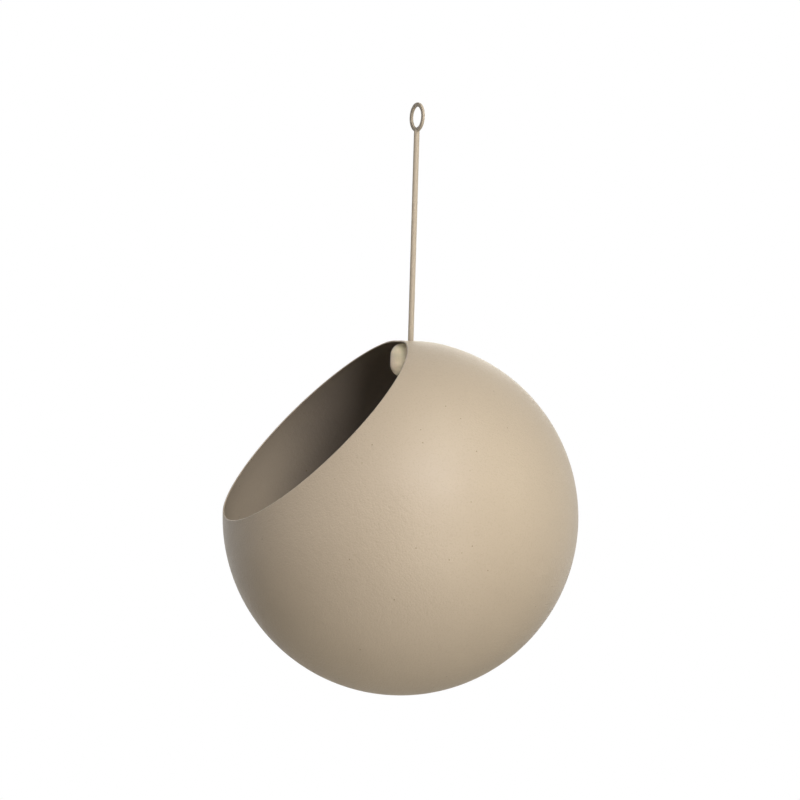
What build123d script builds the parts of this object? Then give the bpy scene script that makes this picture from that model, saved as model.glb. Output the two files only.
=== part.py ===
from build123d import *
import os
from math import acos, atan2, cos, degrees, hypot, radians, sin, sqrt

# Globe hanging planter: a thin steel globe with a round mouth cut in its shoulder hangs on a
# slim rod. The rod passes through the globe's crown and carries it from inside on a round knob,
# with a thin washer between them. The rod's top end holds a flat ring for a hook.
# Millimetres, +Z up. The origin is the centre of the ring's eye, and +Z runs up the rod's axis.

os.makedirs("parts", exist_ok=True)

# Hanging ring, cut from plate, with a tang below it that is let into the rod
eye_bore = 10.0
eye_band = 2.0
ring_plate = 1.2
ring_edge_r = 0.25
tang_fillet = 1.5
tang_length = 1.6

# Rod, coated, with a bare threaded end
rod_d = 2.7
rod_exposed = 100.0
band_bare = 1.1
rod_shoulder = 0.1
thread_chamfer = 0.4

# Knob on the threaded end, inside the globe: its flat top carries the washer
knob_d = 19.0
knob_side = 4.0
knob_land = 0.1
knob_floor = 5.9
tap_run_out = 1.5
tap_clearance = 0.05

# Washer between the knob and the globe
washer_d = 6.4
washer_thick = 0.3
washer_clearance = 0.15

# Globe, with its crown pressed flat around the rod's hole
globe_d = 170.0
globe_wall = 0.8
rod_setback = 2.6
crown_land = 0.25
crown_press = 0.4
hole_clearance = 0.35

# Mouth of the globe: across its rim, and the strip of crown left between it and the washer
mouth_d = 119.0
crown_strip = 3.5
rim_edge_r = 0.25

# How far the globe is turned on the rod from the ring's own line, in degrees
globe_turn = -8.0

# The largest share of a wall's thickness that one rounded edge takes
round_share = 0.4

# Ring: outside, the foot of the fillets in its neck, and the tang's end
ring_r = eye_bore / 2 + eye_band
neck_foot = sqrt((ring_r + tang_fillet) ** 2 - (rod_d / 2 + tang_fillet) ** 2)
tang_end = neck_foot + tang_length
ring_round = min(ring_edge_r, round_share * ring_plate)

# Rod's top end, with a cheek on each side of the ring
rod_top = -(eye_bore / 2 + band_bare)
cheek = (rod_d - ring_plate) / 2

# Knob and thread
knob_flat_r = washer_d / 2 + knob_land
knob_edge_r = knob_d / 2 - knob_flat_r
knob_height = 2 * knob_edge_r + knob_side
thread_d = rod_d - 2 * rod_shoulder
thread_length = knob_height - knob_floor - tap_run_out

# Crown: a flat as wide as the washer needs, blended into the globe by a tangent arc
globe_r = globe_d / 2
crown_flat_r = rod_setback + washer_d / 2 + crown_land
crown_rise = sqrt(globe_r ** 2 - crown_flat_r ** 2) - crown_press
crown_drop = globe_r - crown_rise
crown_blend_r = (globe_r + crown_rise) / 2 - crown_flat_r ** 2 / (2 * crown_drop)
blend_rise = crown_rise - crown_blend_r
blend_angle = degrees(atan2(blend_rise, crown_flat_r))

# Levels down the rod's axis
crown_top = -(ring_r + rod_exposed)
knob_top = crown_top - globe_wall - washer_thick
knob_bottom = knob_top - knob_height
globe_level = crown_top - crown_rise

# The globe's own plane: its X points straight back from the mouth, its origin is the centre
turn = radians(globe_turn)
back = Vector(cos(turn), sin(turn), 0)
globe_plane = Plane(
    origin=back * -rod_setback + Vector(0, 0, globe_level),
    x_dir=back,
    z_dir=(0, 0, 1),
)
globe_axis = Axis(globe_plane.origin, globe_plane.z_dir)
globe_section = Plane(
    origin=globe_plane.origin,
    x_dir=globe_plane.x_dir,
    z_dir=-globe_plane.y_dir,
)

# Mouth: a flat cut from the rim's top, on the crown, to the rim's foot, on the globe
rim_top = Vector(rod_setback - washer_d / 2 - crown_strip, 0, crown_rise)
rim_top_r = hypot(rim_top.X, rim_top.Z)
rim_spread = acos((rim_top_r ** 2 + globe_r ** 2 - mouth_d ** 2) / (2 * rim_top_r * globe_r))
rim_foot_angle = atan2(rim_top.Z, rim_top.X) + rim_spread
rim_foot = Vector(globe_r * cos(rim_foot_angle), 0, globe_r * sin(rim_foot_angle))
mouth_plane = Plane(
    origin=globe_plane.from_local_coords((rim_top + rim_foot) / 2),
    x_dir=globe_plane.y_dir,
    z_dir=globe_plane.y_dir.cross(
        globe_plane.from_local_coords(rim_foot) - globe_plane.from_local_coords(rim_top)
    ),
)

# Hanging ring with its tang
with BuildPart() as hanging_ring:
    with BuildSketch(Plane.YZ) as ring_outline:
        Circle(ring_r)
        with Locations((0, -tang_end)):
            Rectangle(rod_d, tang_end, align=(Align.CENTER, Align.MIN))
        neck_corners = ring_outline.vertices().group_by(Axis.Y)[1]
        fillet(neck_corners, tang_fillet)
        Circle(eye_bore / 2, mode=Mode.SUBTRACT)
    extrude(amount=ring_plate / 2, both=True)
    plate_faces = hanging_ring.faces().filter_by(Axis.X)
    fillet(plate_faces.edges().filter_by(GeomType.CIRCLE), ring_round)
hanging_ring.part.label = "hanging_ring"
export_step(hanging_ring.part, "parts/hanging_ring.step")

# Rod: round bar, rounded and slotted at the top for the ring, threaded at the bottom
with BuildPart() as hanger_rod:
    with BuildSketch(Plane.XY.offset(knob_top)):
        Circle(rod_d / 2)
    extrude(amount=rod_top - knob_top)
    fillet(hanger_rod.faces().sort_by(Axis.Z)[-1].edges(), cheek)
    with BuildSketch(Plane.XY.offset(knob_top)):
        Circle(thread_d / 2)
    extrude(amount=-thread_length)
    chamfer(hanger_rod.faces().sort_by(Axis.Z)[0].edges(), thread_chamfer)
    with BuildSketch(Plane.XY.offset(-tang_end)):
        Rectangle(ring_plate, 2 * rod_d)
    extrude(amount=tang_end, mode=Mode.SUBTRACT)
hanger_rod.part.label = "hanger_rod"
export_step(hanger_rod.part, "parts/hanger_rod.step")

# Knob: turned, rounded at both ends, tapped from its top
with BuildPart() as knob:
    with BuildSketch(Plane.XZ) as knob_outline:
        with Locations((0, knob_bottom)):
            Rectangle(knob_d / 2, knob_height, align=(Align.MIN, Align.MIN))
        fillet(knob_outline.vertices().group_by(Axis.X)[-1], knob_edge_r)
    revolve(axis=Axis.Z)
    with BuildSketch(Plane.XY.offset(knob_top)):
        Circle(thread_d / 2 + tap_clearance)
    extrude(amount=-(thread_length + tap_run_out), mode=Mode.SUBTRACT)
knob.part.label = "knob"
export_step(knob.part, "parts/knob.step")

# Washer that the globe turns and rests on
with BuildPart() as seat_washer:
    with BuildSketch(Plane.XY.offset(knob_top)):
        Circle(washer_d / 2)
        Circle(rod_d / 2 + washer_clearance, mode=Mode.SUBTRACT)
    extrude(amount=washer_thick)
seat_washer.part.label = "seat_washer"
export_step(seat_washer.part, "parts/seat_washer.step")

# Globe shell: one revolved wall, cut by the mouth's plane, then pierced for the rod
with BuildPart() as globe_shell:
    with BuildSketch(globe_section):
        with BuildLine():
            blend_centre = (crown_flat_r, blend_rise)
            Line((0, crown_rise), (crown_flat_r, crown_rise))
            CenterArc(blend_centre, crown_blend_r, 90, blend_angle - 90)
            CenterArc((0, 0), globe_r, blend_angle, -90 - blend_angle)
            Line((0, -globe_r), (0, -globe_r + globe_wall))
            CenterArc((0, 0), globe_r - globe_wall, -90, 90 + blend_angle)
            CenterArc(blend_centre, crown_blend_r - globe_wall, blend_angle, 90 - blend_angle)
            Line((crown_flat_r, crown_rise - globe_wall), (0, crown_rise - globe_wall))
            Line((0, crown_rise - globe_wall), (0, crown_rise))
        make_face()
    revolve(axis=globe_axis)
    split(bisect_by=mouth_plane, keep=Keep.BOTTOM)
    rim_face = globe_shell.faces().filter_by(mouth_plane).sort_by(SortBy.AREA)[-1]
    fillet(rim_face.edges(), min(rim_edge_r, round_share * globe_wall))
    with BuildSketch(Plane.XY.offset(crown_top)):
        Circle(rod_d / 2 + hole_clearance)
    extrude(amount=-globe_wall, mode=Mode.SUBTRACT)
globe_shell.part.label = "globe_shell"
export_step(globe_shell.part, "parts/globe_shell.step")
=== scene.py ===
"""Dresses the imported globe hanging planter.

A thin steel globe with a round mouth hangs on a slim rod with a flat ring at its top. A turned
knob on the rod's lower end, with a nylon washer on it, carries the globe from inside. The steel
pieces are powder coated in one taupe. Every length is in metres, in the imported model's frame:
the origin is the centre of the ring's eye and +Z runs up the rod.
"""

import logging
from dataclasses import dataclass, field
from enum import Enum
from math import acos, atan2, cos, hypot, pi, radians, sin, sqrt, tan
from typing import Sequence

import bmesh
import bpy
from mathutils import Matrix, Quaternion, Vector


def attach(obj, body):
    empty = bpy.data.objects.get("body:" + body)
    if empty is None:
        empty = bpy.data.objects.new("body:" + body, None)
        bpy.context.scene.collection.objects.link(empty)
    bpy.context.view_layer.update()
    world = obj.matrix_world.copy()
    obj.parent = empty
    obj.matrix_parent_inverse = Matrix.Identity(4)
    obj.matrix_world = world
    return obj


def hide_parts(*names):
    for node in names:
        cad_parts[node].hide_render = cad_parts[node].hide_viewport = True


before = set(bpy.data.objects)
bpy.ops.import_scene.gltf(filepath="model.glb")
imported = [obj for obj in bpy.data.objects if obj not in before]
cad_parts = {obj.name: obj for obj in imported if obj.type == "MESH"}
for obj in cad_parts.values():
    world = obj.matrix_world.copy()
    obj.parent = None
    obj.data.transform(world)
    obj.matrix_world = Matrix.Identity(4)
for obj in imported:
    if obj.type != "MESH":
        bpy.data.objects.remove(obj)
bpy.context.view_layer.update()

log = logging.getLogger("planter")

WHITE = "#FFFFFF"

# The numbered sockets of a Mix node that mixes colours
MIX_SHARE, MIX_FIRST, MIX_SECOND, MIX_RESULT = 0, 6, 7, 2

# The finer octaves that a noise adds to its own size: one keeps it soft, two make it crisp
SOFT, CRISP = 1.0, 2.0


def mm(length: float) -> float:
    """Millimetres in metres, which every mesh and material here is drawn in."""
    return length / 1000


def per_metre(size_mm: float) -> float:
    """The texture scale at which one cell of a pattern is about size_mm across."""
    return 1 / mm(size_mm)


def linear(hex_colour: str) -> tuple[float, float, float, float]:
    """Turns an sRGB hex colour into the linear colour that the shaders work in.

    Args:
        hex_colour: six hex digits, with or without a leading hash.

    Returns:
        Linear red, green, blue and an alpha of 1.
    """
    digits = hex_colour.lstrip("#")
    values = [int(digits[i:i + 2], 16) / 255 for i in (0, 2, 4)]
    # The two branches of the sRGB standard's own curve
    red, green, blue = (v / 12.92 if v <= 0.04045 else ((v + 0.055) / 1.055) ** 2.4 for v in values)
    return red, green, blue, 1.0


def add_node(
    tree: bpy.types.NodeTree,
    kind: str,
    settings: dict[str, object] | None = None,
    sockets: dict[str | int, object] | None = None,
) -> bpy.types.Node:
    """Adds one node to a tree, with its settings and its links.

    Args:
        tree: the material's or the world's node tree.
        kind: Blender's name of the node type.
        settings: the node's own options, by name.
        sockets: its inputs by name or number. Another node's output is linked, anything else
            is set as the input's value.

    Returns:
        The new node.
    """
    node = tree.nodes.new(kind)
    for name, value in (settings or {}).items():
        setattr(node, name, value)
    for key, value in (sockets or {}).items():
        if isinstance(value, bpy.types.NodeSocket):
            tree.links.new(value, node.inputs[key])
        else:
            node.inputs[key].default_value = value
    return node


def new_material(name: str) -> tuple[bpy.types.Material, bpy.types.NodeTree]:
    """Makes an empty node material.

    Args:
        name: the material's name.

    Returns:
        The material and its cleared node tree.
    """
    material = bpy.data.materials.new(name)
    material.use_nodes = True
    material.node_tree.nodes.clear()
    return material, material.node_tree


class Grain(Enum):
    """The texture a powder coat cures to, as the size of its grains in millimetres.

    The real grains are 0.1 to 0.3 mm. A pixel of the photograph is 0.48 mm, so they are drawn
    about three times coarser to show at all.
    """

    SANDY = 0.8
    FINE = 0.7
    SMOOTH = 0.5


@dataclass(frozen=True)
class PowderCoat:
    """Polyester powder, sprayed dry on steel and stoved: a matt film that looks softly grained.

    The grains scatter the lamp's reflection into a broad glow, and catch it one by one where it is
    strongest. A slow ripple of the film, called orange peel, breaks the glow's edge. A few grains
    of darker powder lie in it. A coat may also carry painted shade: away from the mouth its colour
    is darkened towards a dark grey, for the shade deep inside the globe.

    Attributes:
        name: the material's name.
        colour: the coat's colour.
        fleck: the colour of the stray darker grains.
        drift: the colour that slow changes in the film's thickness lean to.
        grain: how coarse the cured powder is.
        roughness: how wide the film spreads a reflection.
        grain_height: how far the grains stand up, in millimetres.
        peel_height: how deep the orange peel is, in millimetres.
        sheen: how much the matting agent leaves of the resin's reflection, of 0.5.
        pepper: how far the finest grains darken towards the fleck's colour.
        painted_shade: the dark colour of the painted shade deep inside the globe, mixed in away
        from the mouth. It is empty on a surface without painted shade.
        fleck_share: the share of the cells that holds a stray grain.
    """

    name: str
    colour: str
    fleck: str
    drift: str
    grain: Grain
    roughness: float
    grain_height: float
    peel_height: float
    sheen: float = 0.38
    pepper: float = 0.3
    painted_shade: str = ""
    fleck_share: float = 0.3

    # Where along +X, away from the mouth, the painted shade starts and where it is darkest, and
    # how much of the shade's colour is mixed in there
    PAINTED_SHADE_START = mm(-45)
    PAINTED_SHADE_DARKEST = mm(14)
    PAINTED_SHADE_SHARE = 0.52

    # Sizes of the patterns in millimetres, and a stray grain's radius as a share of its cell
    SPECKLE_SIZE = 0.75
    PEEL_SIZE = 2.6
    DRIFT_SIZE = 26.0
    FLECK_CELL = 5.0
    FLECK_RADIUS = 0.07

    # How strong each finer octave of the grains is, against the one before it
    GRAIN_OCTAVE = 0.6

    # The noise values between which the grains change the roughness, and by how much each way
    GRAIN_LOW, GRAIN_HIGH = 0.3, 0.7
    GRAIN_ROUGHNESS = 0.12

    # The noise values between which the finest grains darken
    PEPPER_LOW, PEPPER_HIGH = 0.52, 0.72

    IOR = 1.5

    def material(self) -> bpy.types.Material:
        """Makes the coat's material.

        Returns:
            The node material.
        """
        material, tree = new_material(self.name)
        place = add_node(tree, "ShaderNodeTexCoord").outputs["Object"]
        grains = add_node(tree, "ShaderNodeTexNoise", {}, {
            "Vector": place, "Scale": per_metre(self.grain.value), "Detail": CRISP,
            "Roughness": self.GRAIN_OCTAVE,
        }).outputs["Fac"]
        peel = add_node(tree, "ShaderNodeTexNoise", {}, {
            "Vector": place, "Scale": per_metre(self.PEEL_SIZE), "Detail": SOFT,
        }).outputs["Fac"]
        colour = self._colour(tree, place)
        roughness = add_node(tree, "ShaderNodeMapRange", {}, {
            "Value": grains, "From Min": self.GRAIN_LOW, "From Max": self.GRAIN_HIGH,
            "To Min": self.roughness - self.GRAIN_ROUGHNESS,
            "To Max": self.roughness + self.GRAIN_ROUGHNESS,
        }).outputs["Result"]
        rippled = add_node(tree, "ShaderNodeBump", {}, {
            "Height": peel, "Distance": mm(self.peel_height), "Strength": 1.0,
        }).outputs["Normal"]
        grained = add_node(tree, "ShaderNodeBump", {}, {
            "Height": grains, "Distance": mm(self.grain_height), "Strength": 1.0,
            "Normal": rippled,
        }).outputs["Normal"]
        shader = add_node(tree, "ShaderNodeBsdfPrincipled", {}, {
            "Base Color": colour, "Roughness": roughness, "IOR": self.IOR, "Normal": grained,
            "Specular IOR Level": self.sheen,
        }).outputs["BSDF"]
        add_node(tree, "ShaderNodeOutputMaterial", {}, {"Surface": shader})
        return material

    def _colour(
        self, tree: bpy.types.NodeTree, place: bpy.types.NodeSocket
    ) -> bpy.types.NodeSocket:
        """Adds the coat's colour: its base, the slow drift, the painted shade and the darker
        grains.

        Args:
            tree: the coat's node tree.
            place: the point on the piece.

        Returns:
            The colour output.
        """
        slow = add_node(tree, "ShaderNodeTexNoise", {}, {
            "Vector": place, "Scale": per_metre(self.DRIFT_SIZE), "Detail": CRISP,
        }).outputs["Fac"]
        film = add_node(tree, "ShaderNodeMix", {"data_type": "RGBA"}, {
            MIX_SHARE: slow, MIX_FIRST: linear(self.colour), MIX_SECOND: linear(self.drift),
        }).outputs[MIX_RESULT]
        # Painted shade: away from the mouth, along +X, the colour darkens towards the shade's
        # colour
        if self.painted_shade:
            along = add_node(tree, "ShaderNodeSeparateXYZ", {}, {0: place}).outputs["X"]
            painted_shade_share = add_node(tree, "ShaderNodeMapRange", {"interpolation_type": "SMOOTHSTEP"}, {
                "Value": along, "From Min": self.PAINTED_SHADE_START, "From Max": self.PAINTED_SHADE_DARKEST,
                "To Max": self.PAINTED_SHADE_SHARE,
            }).outputs["Result"]
            film = add_node(tree, "ShaderNodeMix", {"data_type": "RGBA"}, {
                MIX_SHARE: painted_shade_share, MIX_FIRST: film, MIX_SECOND: linear(self.painted_shade),
            }).outputs[MIX_RESULT]
        speckle = add_node(tree, "ShaderNodeTexNoise", {}, {
            "Vector": place, "Scale": per_metre(self.SPECKLE_SIZE), "Detail": SOFT,
        }).outputs["Fac"]
        pepper = add_node(tree, "ShaderNodeMapRange", {}, {
            "Value": speckle, "From Min": self.PEPPER_LOW, "From Max": self.PEPPER_HIGH,
            "To Max": self.pepper,
        }).outputs["Result"]
        peppered = add_node(tree, "ShaderNodeMix", {"data_type": "RGBA"}, {
            MIX_SHARE: pepper, MIX_FIRST: film, MIX_SECOND: linear(self.fleck),
        }).outputs[MIX_RESULT]
        return add_node(tree, "ShaderNodeMix", {"data_type": "RGBA"}, {
            MIX_SHARE: self._flecks(tree, place), MIX_FIRST: peppered,
            MIX_SECOND: linear(self.fleck),
        }).outputs[MIX_RESULT]

    def _flecks(
        self, tree: bpy.types.NodeTree, place: bpy.types.NodeSocket
    ) -> bpy.types.NodeSocket:
        """Adds the mask of the stray grains: one dot in some of the cells.

        Args:
            tree: the coat's node tree.
            place: the point on the piece.

        Returns:
            The mask, 1 on a stray grain and 0 elsewhere.
        """
        cells = add_node(tree, "ShaderNodeTexVoronoi", {}, {
            "Vector": place, "Scale": per_metre(self.FLECK_CELL),
        })
        near = add_node(tree, "ShaderNodeMath", {"operation": "LESS_THAN"}, {
            0: cells.outputs["Distance"], 1: self.FLECK_RADIUS,
        }).outputs[0]
        chance = add_node(tree, "ShaderNodeSeparateColor", {}, {
            "Color": cells.outputs["Color"],
        }).outputs[0]
        chosen = add_node(tree, "ShaderNodeMath", {"operation": "LESS_THAN"}, {
            0: chance, 1: self.fleck_share,
        }).outputs[0]
        return add_node(tree, "ShaderNodeMath", {"operation": "MULTIPLY"}, {
            0: near, 1: chosen,
        }).outputs[0]


@dataclass(frozen=True)
class Nylon:
    """Natural nylon 6, stamped from sheet: a waxy off-white with a faint grain.

    Attributes:
        name: the material's name.
        colour: the nylon's colour.
        roughness: how wide it spreads a reflection.
    """

    name: str = "nylon_stamped"
    colour: str = "#DCD3C0"
    roughness: float = 0.42

    # The grain's size and height in millimetres
    GRAIN_SIZE = 0.6
    GRAIN_HEIGHT = 0.01
    IOR = 1.53

    def material(self) -> bpy.types.Material:
        """Makes the nylon's material.

        Returns:
            The node material.
        """
        material, tree = new_material(self.name)
        place = add_node(tree, "ShaderNodeTexCoord").outputs["Object"]
        grain = add_node(tree, "ShaderNodeTexNoise", {}, {
            "Vector": place, "Scale": per_metre(self.GRAIN_SIZE), "Detail": CRISP,
        }).outputs["Fac"]
        normal = add_node(tree, "ShaderNodeBump", {}, {
            "Height": grain, "Distance": mm(self.GRAIN_HEIGHT),
        }).outputs["Normal"]
        shader = add_node(tree, "ShaderNodeBsdfPrincipled", {}, {
            "Base Color": linear(self.colour), "Roughness": self.roughness, "IOR": self.IOR,
            "Normal": normal,
        }).outputs["BSDF"]
        add_node(tree, "ShaderNodeOutputMaterial", {}, {"Surface": shader})
        return material


def mesh_object(
    name: str, points: Sequence[Vector], faces: Sequence[Sequence[int]]
) -> bpy.types.Object:
    """Makes a smooth-shaded mesh object from points and faces.

    Args:
        name: the piece's name.
        points: its points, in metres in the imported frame.
        faces: its faces, as the numbers of their points.

    Returns:
        The object, linked to the scene.
    """
    mesh = bpy.data.meshes.new(name)
    mesh.from_pydata([tuple(p) for p in points], [], faces)
    mesh.polygons.foreach_set("use_smooth", [True] * len(mesh.polygons))
    mesh.update()
    made = bpy.data.objects.new(name, mesh)
    bpy.context.scene.collection.objects.link(made)
    return made


def apply_modifiers(piece: bpy.types.Object) -> None:
    """Makes a piece's modifiers part of its mesh.

    Args:
        piece: the object, which loses its modifiers.
    """
    bpy.context.view_layer.update()
    shaped = piece.evaluated_get(bpy.context.evaluated_depsgraph_get())
    mesh = bpy.data.meshes.new_from_object(shaped)
    piece.modifiers.clear()
    piece.data = mesh


def ring_points(radius: float, height: float, around: int) -> list[Vector]:
    """Points evenly round a level circle about the rod's axis.

    Args:
        radius: the circle's radius.
        height: its level.
        around: how many points it has.

    Returns:
        The points, from +X towards +Y.
    """
    turns = [2 * pi * i / around for i in range(around)]
    return [Vector((radius * cos(turn), radius * sin(turn), height)) for turn in turns]


def revolve(name: str, outline: Sequence[tuple[float, float]], around: int) -> bpy.types.Object:
    """Turns an outline about the rod's axis into a closed solid.

    Args:
        name: the object's name.
        outline: heights and radii, from the top down.
        around: how many points each ring has.

    Returns:
        The object.
    """
    points: list[Vector] = []
    faces: list[tuple[int, ...]] = []
    for height, radius in outline:
        points += ring_points(radius, height, around)
    for ring in range(len(outline) - 1):
        upper, lower = ring * around, (ring + 1) * around
        for i in range(around):
            j = (i + 1) % around
            faces.append((upper + i, lower + i, lower + j, upper + j))
    faces.append(tuple(range(around)))
    faces.append(tuple(range(len(points) - 1, len(points) - 1 - around, -1)))
    return mesh_object(name, points, faces)


@dataclass
class Globe:
    """The spun steel globe: one wall with its crown pressed flat and a round mouth cut off.

    Attributes:
        outside: the coat outside and on the rim.
        inside: the coat inside.
        centre: the globe's centre.
        mouth: the direction in which the mouth faces.
        mouth_reach: from the centre to the mouth's plane.
        radius: outside of the globe.
        wall: the sheet's thickness.
        inset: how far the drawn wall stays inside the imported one, whose facets cut the true
            globe's box by this much.
        crown_flat: half the width of the crown's flat.
        crown_rise: from the centre up to the flat.
        rim_round: rounding of the rim's two edges.
        hole: radius of the hole for the rod.
        hole_round: how the coat rounds the hole's edges.
    """

    outside: PowderCoat
    inside: PowderCoat
    centre: Vector = field(
        default_factory=lambda: Vector((mm(-2.5747), mm(0.3619), mm(-191.384)))
    )
    mouth: Vector = field(
        default_factory=lambda: Vector((-0.7266, 0.1021, 0.6794)).normalized()
    )
    mouth_reach: float = mm(60.34)
    radius: float = mm(85)
    wall: float = mm(0.8)
    inset: float = mm(0.04)
    crown_flat: float = mm(6.05)
    crown_rise: float = mm(84.384)
    rim_round: float = mm(0.25)
    hole: float = mm(1.7)
    hole_round: float = mm(0.2)

    # Columns round the mouth's axis, and even rows from the rim to the pole
    AROUND = 288
    ALONG = 96

    # The first row's height at the rim, and how much taller each next one is
    FIRST_STEP = mm(0.12)
    GROWTH = 1.5

    # Rows on a rounded edge, rounds that settle the rim's angle, and the angle past the rim
    # that gives the wall's direction there
    ROUND_STEPS = 5
    RIM_ROUNDS = 12
    EDGE_LOOK = 0.01

    # Points nearer than this are one
    MERGE = mm(0.001)

    # The hole's cutter: how far it stands out of the wall, and its sides
    CUTTER_REACH = mm(2)
    CUTTER_SIDES = 64

    # A face is inside when it is this near to the inner wall and this far below the rim
    WALL_SLACK = mm(0.2)
    RIM_MARGIN = mm(0.5)

    def __post_init__(self) -> None:
        """Works out the arc that blends the crown's flat into the globe."""
        drop = self.radius - self.crown_rise
        self.blend_radius = (self.radius + self.crown_rise) / 2 - self.crown_flat ** 2 / (2 * drop)
        self.blend_rise = self.crown_rise - self.blend_radius
        self.blend_slope = atan2(self.blend_rise, self.crown_flat)

    def reach(self, direction: Vector, depth: float) -> float:
        """How far the wall is from the globe's centre in one direction.

        Args:
            direction: a unit vector from the centre.
            depth: 0 for the outside, and the wall's thickness for the inside.

        Returns:
            The distance.
        """
        depth = max(depth, self.inset)
        across = hypot(direction.x, direction.y)
        up = direction.z
        if atan2(up, across) < self.blend_slope:
            return self.radius - depth
        flat = (self.crown_rise - depth) / up
        if flat * across <= self.crown_flat:
            return flat
        along = across * self.crown_flat + up * self.blend_rise
        off = self.crown_flat ** 2 + self.blend_rise ** 2 - (self.blend_radius - depth) ** 2
        return along + sqrt(along ** 2 - off)

    def build(self) -> bpy.types.Object:
        """Builds the shell around the mouth's axis and pierces it for the rod.

        Returns:
            The dressed shell.
        """
        sides = [self._section(2 * pi * i / self.AROUND) for i in range(self.AROUND)]
        count = len(sides[0])
        points = [point for side in sides for point in side]
        faces: list[tuple[int, ...]] = []
        for i in range(self.AROUND):
            here, there = i * count, (i + 1) % self.AROUND * count
            faces += [(here + k, there + k, there + k + 1, here + k + 1) for k in range(count - 1)]
        shell = mesh_object("globe", points, faces)
        work = bmesh.new()
        work.from_mesh(shell.data)
        bmesh.ops.remove_doubles(work, verts=work.verts, dist=self.MERGE)
        bmesh.ops.recalc_face_normals(work, faces=work.faces)
        work.to_mesh(shell.data)
        work.free()
        self._pierce(shell)
        self._dress(shell)
        return shell

    def _section(self, turn: float) -> list[Vector]:
        """The wall's outline in the half plane through the mouth's axis at one turn.

        Args:
            turn: the angle about the mouth's axis, in radians.

        Returns:
            Its points, from the outer pole over the rim to the inner pole.
        """
        level = self.mouth.orthogonal().normalized()
        outwards = Matrix.Rotation(turn, 3, self.mouth) @ level

        def heading(angle: float) -> Vector:
            """The direction at an angle from the mouth's axis."""
            return self.mouth * cos(angle) + outwards * sin(angle)

        def at(angle: float, depth: float) -> Vector:
            """The point of the wall at an angle from the mouth's axis."""
            return self.centre + heading(angle) * self.reach(heading(angle), depth)

        def rim_angle(depth: float) -> float:
            """The angle at which the wall meets the mouth's plane."""
            angle = acos(self.mouth_reach / self.radius)
            for _ in range(self.RIM_ROUNDS):
                angle = acos(self.mouth_reach / self.reach(heading(angle), depth))
            return angle

        outer, inner = rim_angle(0), rim_angle(self.wall)
        outer_edge, inner_edge = at(outer, 0), at(inner, self.wall)
        outer_round = self._rounded(outer_edge, at(outer + self.EDGE_LOOK, 0), inner_edge)
        inner_round = self._rounded(inner_edge, outer_edge, at(inner + self.EDGE_LOOK, self.wall))
        outer_start = outer + (outer_round[0] - outer_edge).length / self.radius
        inner_start = inner + (inner_round[-1] - inner_edge).length / self.radius
        outside = [at(outer_start + a, 0) for a in self._steps(pi - outer_start)]
        inside = [at(inner_start + a, self.wall) for a in self._steps(pi - inner_start)]
        return outside[::-1] + outer_round + inner_round + inside

    def _steps(self, span: float) -> list[float]:
        """Angles from just past the rim to the pole, close together at the rim and then even.

        Args:
            span: the angle from the rim to the pole.

        Returns:
            The angles, rising, with the pole's last.
        """
        even = span / self.ALONG
        step = self.FIRST_STEP / self.radius
        angles = [step]
        while step * self.GROWTH < even:
            step *= self.GROWTH
            angles.append(angles[-1] + step)
        rest = span - angles[-1]
        count = max(1, round(rest / even))
        return angles + [angles[-1] + rest * (i + 1) / count for i in range(count)]

    def _rounded(self, corner: Vector, before: Vector, after: Vector) -> list[Vector]:
        """Rounds one corner of the outline.

        Args:
            corner: the sharp corner.
            before: a point on the line into it.
            after: a point on the line out of it.

        Returns:
            Points on the arc, from the line in to the line out.
        """
        back, on = (before - corner).normalized(), (after - corner).normalized()
        half = back.angle(on) / 2
        centre = corner + (back + on).normalized() * (self.rim_round / sin(half))
        start = corner + back * (self.rim_round / tan(half)) - centre
        end = corner + on * (self.rim_round / tan(half)) - centre
        turn = start.rotation_difference(end)
        return [
            centre + Quaternion().slerp(turn, i / self.ROUND_STEPS) @ start
            for i in range(self.ROUND_STEPS + 1)
        ]

    def _pierce(self, shell: bpy.types.Object) -> None:
        """Cuts the rod's hole, with its edges rounded as the coat rounds them.

        Args:
            shell: the closed shell.
        """
        top = self.centre.z + self.crown_rise
        middle = top - self.wall / 2
        wide = self.hole + self.hole_round
        heights = [(top + self.CUTTER_REACH, wide), (top, wide)]
        for i in range(1, self.ROUND_STEPS + 1):
            angle = pi / 2 * i / self.ROUND_STEPS
            heights.append((
                top - self.hole_round * (1 - cos(angle)),
                self.hole + self.hole_round * (1 - sin(angle)),
            ))
        heights += [(2 * middle - z, r) for z, r in heights[::-1]]
        cutter = revolve("hole_cutter", heights, self.CUTTER_SIDES)
        cut = shell.modifiers.new("hole", "BOOLEAN")
        cut.operation = "DIFFERENCE"
        cut.solver = "EXACT"
        cut.object = cutter
        apply_modifiers(shell)
        bpy.data.objects.remove(cutter)

    def _dress(self, shell: bpy.types.Object) -> None:
        """Gives the wall's inside its own coat and the rest the outside's.

        Args:
            shell: the pierced shell.
        """
        shell.data.materials.clear()
        shell.data.materials.append(self.outside.material())
        shell.data.materials.append(self.inside.material())
        for face in shell.data.polygons:
            out = face.center - self.centre
            reach = self.reach(out.normalized(), self.wall)
            deep = out.dot(self.mouth) < self.mouth_reach - self.RIM_MARGIN
            face.material_index = int(deep and abs(out.length - reach) < self.WALL_SLACK)
            face.use_smooth = True
        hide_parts("globe_shell")
        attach(shell, "globe")


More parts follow.
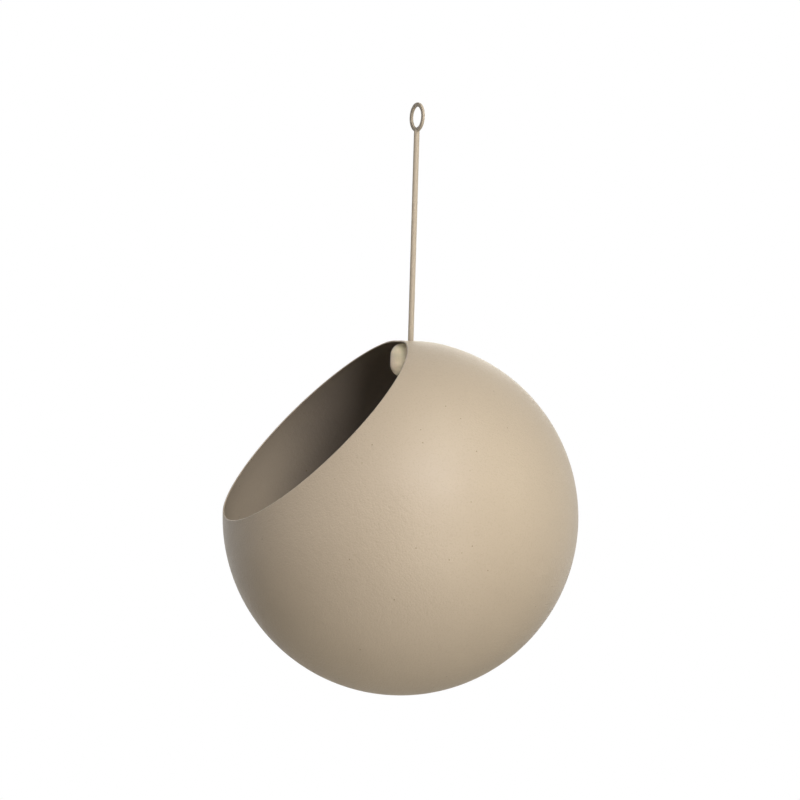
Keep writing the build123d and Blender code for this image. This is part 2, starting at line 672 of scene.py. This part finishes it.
@dataclass
class Hanger:
    """The rod and its ring, brazed together and coated as one piece.

    Attributes:
        coat: its powder coat.
        voxel: the fineness of the skin that is drawn over the two steel parts.
        smoothing: how many rounds even the skin out, as the coat fills the joint's corners.
    """

    coat: PowderCoat
    voxel: float = mm(0.14)
    smoothing: int = 10

    # Points nearer than this are one
    MERGE = mm(0.0005)

    def build(self) -> bpy.types.Object:
        """Draws one skin over the ring and the rod, and dresses it.

        Returns:
            The dressed skin.
        """
        work = bmesh.new()
        for node in ("hanging_ring", "hanger_rod"):
            work.from_mesh(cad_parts[node].data)
        bmesh.ops.remove_doubles(work, verts=work.verts, dist=self.MERGE)
        mesh = bpy.data.meshes.new("hanger")
        work.to_mesh(mesh)
        work.free()
        skin = bpy.data.objects.new("hanger", mesh)
        bpy.context.scene.collection.objects.link(skin)
        remesh = skin.modifiers.new("skin", "REMESH")
        remesh.mode = "VOXEL"
        remesh.voxel_size = self.voxel
        remesh.use_smooth_shade = True
        even = skin.modifiers.new("coat", "SMOOTH")
        even.iterations = self.smoothing
        apply_modifiers(skin)
        skin.data.materials.clear()
        skin.data.materials.append(self.coat.material())
        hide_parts("hanging_ring", "hanger_rod")
        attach(skin, "hanger")
        return skin


@dataclass
class Knob:
    """The turned knob on the rod's lower end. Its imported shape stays, and gets a smoother coat.

    Attributes:
        coat: its powder coat.
    """

    coat: PowderCoat

    def dress(self) -> bpy.types.Object:
        """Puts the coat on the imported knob.

        Returns:
            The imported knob's object.
        """
        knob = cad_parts["knob"]
        knob.material_slots[0].material = self.coat.material()
        return knob


@dataclass
class Washer:
    """The nylon washer that the globe turns on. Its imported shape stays.

    Attributes:
        finish: its nylon.
    """

    finish: Nylon

    def dress(self) -> bpy.types.Object:
        """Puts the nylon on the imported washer.

        Returns:
            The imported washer's object.
        """
        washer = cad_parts["seat_washer"]
        washer.material_slots[0].material = self.finish.material()
        return washer


def toward(azimuth: float, elevation: float) -> Vector:
    """The direction from the object to a place around it.

    Args:
        azimuth: degrees from the front, which faces -Y, round to +X.
        elevation: degrees above the level.

    Returns:
        A unit vector.
    """
    a, e = radians(azimuth), radians(elevation)
    return Vector((sin(a) * cos(e), -cos(a) * cos(e), sin(e)))


@dataclass(frozen=True)
class Lamp:
    """One lamp, which faces the globe: a softbox, or a narrow beam if its spread is small.

    Attributes:
        name: what it does in the studio.
        azimuth: where it stands, in degrees round from the front.
        elevation: how high, in degrees above the globe.
        distance: from the point that it faces.
        size: its side.
        power: in watts.
        colour: the colour of its light.
        spread: how wide its beam opens, in degrees.
        above: how far above the point that the others face it aims.
    """

    name: str
    azimuth: float
    elevation: float
    distance: float
    size: float
    power: float
    colour: str
    spread: float = 180
    above: float = 0.0

    def hang(self, aim: Vector) -> None:
        """Hangs the lamp in the scene.

        Args:
            aim: the point that the lamps face.
        """
        light = bpy.data.lights.new(self.name, "AREA")
        light.shape = "SQUARE"
        light.size = self.size
        light.energy = self.power
        light.color = linear(self.colour)[:3]
        light.spread = radians(self.spread)
        lamp = bpy.data.objects.new(self.name, light)
        lamp.visible_camera = False
        direction = toward(self.azimuth, self.elevation)
        lamp.location = aim + Vector((0, 0, self.above)) + direction * self.distance
        lamp.rotation_euler = direction.to_track_quat("Z", "Y").to_euler()
        bpy.context.scene.collection.objects.link(lamp)


@dataclass
class Studio:
    """A plain pale studio: softboxes, a white surround, a pale floor and the camera.

    Attributes:
        lamps: the softboxes and the narrow beam.
        surround: the colour of the light that the walls give back.
        surround_level: how strong that light is.
        floor_paint: the floor's colour.
        floor_level: the floor's height.
        floor_radius: the floor's reach.
        floor_fade: where the floor starts to fade into the white around it.
        floor_lift: how much paler than its light alone the floor is shown to the camera.
        camera_azimuth: where the camera stands, in degrees round from the front.
        camera_elevation: how high it looks from, in degrees.
        camera_roll: how far it is rolled, in degrees, for the lean of the hanging planter.
        camera_distance: from the globe's centre.
        camera_side: how far it stands to its own right of that line.
        camera_rise: how far it stands above that line.
        lens: its focal length in millimetres.
        sensor: its sensor's width in millimetres.
    """

    lamps: tuple[Lamp, ...]
    surround: str = WHITE
    surround_level: float = 0.075
    floor_paint: str = "#F2F0EC"
    floor_level: float = -0.95
    floor_radius: float = 3.2
    floor_fade: float = 1.4
    floor_lift: float = 0.42
    camera_azimuth: float = -27.2
    camera_elevation: float = 0.45
    camera_roll: float = 1.66
    camera_distance: float = 1.5
    camera_side: float = mm(-0.22)
    camera_rise: float = mm(55.98)
    lens: float = 141.14
    sensor: float = 36.0

    # The nearest and farthest that the camera sees
    CLIP = (0.05, 20)

    # The floor's rings, and the points on each
    FLOOR_RINGS = 6
    FLOOR_AROUND = 96

    def build(self, aim: Vector) -> None:
        """Sets the studio up around a point of the object.

        Args:
            aim: the point that the lamps and the camera face.
        """
        for lamp in self.lamps:
            lamp.hang(aim)
        self._surround()
        self._floor()
        self._camera(aim)
        bpy.context.scene.view_settings.view_transform = "Standard"

    def _camera(self, aim: Vector) -> None:
        """Stands the camera where the photograph was taken from.

        Args:
            aim: the point that it faces.
        """
        look = toward(self.camera_azimuth, self.camera_elevation)
        turn = radians(self.camera_azimuth)
        roll = Matrix.Rotation(radians(self.camera_roll), 3, look)
        right = roll @ Vector((cos(turn), sin(turn), 0))
        up = look.cross(right)
        data = bpy.data.cameras.new("camera")
        data.sensor_width = self.sensor
        data.lens = self.lens
        data.clip_start, data.clip_end = self.CLIP
        camera = bpy.data.objects.new("camera", data)
        place = aim + look * self.camera_distance
        place += right * self.camera_side + up * self.camera_rise
        facing = Matrix((right, up, look)).transposed().to_4x4()
        camera.matrix_world = Matrix.Translation(place) @ facing
        bpy.context.scene.collection.objects.link(camera)
        bpy.context.scene.camera = camera

    def _surround(self) -> None:
        """Lights the room softly, and shows it white behind the object and in reflections."""
        world = bpy.data.worlds.new("surround")
        world.use_nodes = True
        tree = world.node_tree
        tree.nodes.clear()
        path = add_node(tree, "ShaderNodeLightPath")
        seen = path.outputs["Is Camera Ray"]
        for kind in ("Is Glossy Ray", "Is Transmission Ray"):
            seen = add_node(tree, "ShaderNodeMath", {"operation": "MAXIMUM"}, {
                0: seen, 1: path.outputs[kind],
            }).outputs[0]
        dim = add_node(tree, "ShaderNodeBackground", {}, {
            "Color": linear(self.surround), "Strength": self.surround_level,
        }).outputs["Background"]
        white = add_node(tree, "ShaderNodeBackground", {}, {
            "Color": linear(WHITE), "Strength": 1.0,
        }).outputs["Background"]
        both = add_node(tree, "ShaderNodeMixShader", {}, {0: seen, 1: dim, 2: white}).outputs[0]
        add_node(tree, "ShaderNodeOutputWorld", {}, {"Surface": both})
        bpy.context.scene.world = world

    def _floor(self) -> None:
        """Lays a round pale floor that fades into the white surround at its edge."""
        around = self.FLOOR_AROUND
        points = [Vector((0, 0, self.floor_level))]
        for ring in range(1, self.FLOOR_RINGS + 1):
            reach = self.floor_radius * ring / self.FLOOR_RINGS
            points += ring_points(reach, self.floor_level, around)
        faces: list[tuple[int, ...]] = []
        for i in range(around):
            j = (i + 1) % around
            faces.append((0, 1 + i, 1 + j))
            for ring in range(self.FLOOR_RINGS - 1):
                near, far = 1 + ring * around, 1 + (ring + 1) * around
                faces.append((near + i, far + i, far + j, near + j))
        floor = mesh_object("floor", points, faces)
        floor.data.materials.append(self._floor_paint())

    def _floor_paint(self) -> bpy.types.Material:
        """Makes the floor's matt paint.

        Returns:
            The node material.
        """
        material, tree = new_material("floor_paint")
        place = add_node(tree, "ShaderNodeTexCoord").outputs["Object"]
        reach = add_node(tree, "ShaderNodeVectorMath", {"operation": "LENGTH"}, {
            0: place,
        }).outputs["Value"]
        fade = add_node(tree, "ShaderNodeMapRange", {"interpolation_type": "SMOOTHSTEP"}, {
            "Value": reach, "From Min": self.floor_fade, "From Max": self.floor_radius,
        }).outputs["Result"]
        paint = add_node(tree, "ShaderNodeBsdfDiffuse", {}, {
            "Color": linear(self.floor_paint),
        }).outputs[0]
        seen = add_node(tree, "ShaderNodeLightPath").outputs["Is Camera Ray"]
        strength = add_node(tree, "ShaderNodeMath", {"operation": "MULTIPLY"}, {
            0: seen, 1: self.floor_lift,
        }).outputs[0]
        lift = add_node(tree, "ShaderNodeEmission", {}, {
            "Color": linear(WHITE), "Strength": strength,
        }).outputs[0]
        pale = add_node(tree, "ShaderNodeAddShader", {}, {0: paint, 1: lift}).outputs[0]
        clear = add_node(tree, "ShaderNodeBsdfTransparent").outputs[0]
        mixed = add_node(tree, "ShaderNodeMixShader", {}, {0: fade, 1: pale, 2: clear}).outputs[0]
        add_node(tree, "ShaderNodeOutputMaterial", {}, {"Surface": mixed})
        return material


# A sandy matt coat: it glows broadly under the lamps, and its grains show in the glow
OUTSIDE = PowderCoat(
    name="powder_coat_sandy", colour="#BFB09A", fleck="#9A8B74", drift="#BBAC96",
    grain=Grain.SANDY, roughness=0.43, grain_height=0.19, peel_height=0.12, sheen=0.44, pepper=0.16,
)

# The same powder inside, duller, with painted shade: away from the mouth its colour is darkened
# towards a near-black grey, so the inside falls off to near black as shade would make it. Its
# base is a touch lighter than the outside's: painted light for the mouth's lit lip.
INSIDE = PowderCoat(
    name="powder_coat_inside", colour="#C2B49E", fleck="#8F8069", drift="#B6A996",
    grain=Grain.FINE, roughness=0.6, grain_height=0.08, peel_height=0.1, sheen=0.3, pepper=0.12,
    painted_shade="#575356",
)

# A thin even coat on the rod and ring, finer than the globe's: the bar looks smooth and plain
HANGER_COAT = PowderCoat(
    name="powder_coat_hanger", colour="#BEB19C", fleck="#978871", drift="#B9AC98",
    grain=Grain.FINE, roughness=0.48, grain_height=0.1, peel_height=0.05, pepper=0.2,
)

# A smooth satin coat on the knob, which keeps a soft upright highlight. Its colour is painted
# light: a much lighter copy of the globe's taupe, standing in for the light that the knob lacks
# in the shade under the crown.
KNOB_COAT = PowderCoat(
    name="powder_coat_satin_painted_light", colour="#EAD8BA", fleck="#D0C4AE", drift="#E6D4B6",
    grain=Grain.SMOOTH, roughness=0.36, grain_height=0.015, peel_height=0.03, sheen=0.5, pepper=0.1,
)

# The last lamp's narrow beam lights the knob alone, inside the mouth
LAMPS = (
    Lamp("key", azimuth=-6, elevation=26, distance=1.5, size=0.45, power=10.6, colour="#FFFBFF"),
    Lamp("high", azimuth=14, elevation=52, distance=1.5, size=0.6, power=5.4, colour="#FFFDF2"),
    Lamp("over", azimuth=-42, elevation=28, distance=1.5, size=0.7, power=2.2, colour="#FFFCFD"),
    Lamp("low", azimuth=-4, elevation=-18, distance=1.2, size=0.7, power=3.6, colour="#FFFBF2"),
    Lamp("right", azimuth=48, elevation=20, distance=1.5, size=0.7, power=3.2, colour="#FFFAE2"),
    Lamp("left", azimuth=-84, elevation=6, distance=1.5, size=0.6, power=0.6, colour="#FFF4F2"),
    Lamp("back", azimuth=150, elevation=16, distance=1.5, size=0.7, power=3, colour="#FFFAEC"),
    Lamp("knob", azimuth=-88, elevation=6, distance=0.8, size=0.02, power=0.0011, colour="#FFF6EC",
         spread=3, above=mm(73)),
)


def main() -> None:
    """Builds the planter's pieces in order and sets up the studio."""
    logging.basicConfig(level=logging.INFO, format="%(name)s: %(message)s")
    globe = Globe(outside=OUTSIDE, inside=INSIDE)
    for piece in (
        globe.build(),
        Hanger(coat=HANGER_COAT).build(),
        Knob(coat=KNOB_COAT).dress(),
        Washer(finish=Nylon()).dress(),
    ):
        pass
    Studio(lamps=LAMPS).build(globe.centre)


if __name__ == "__main__":
    main()
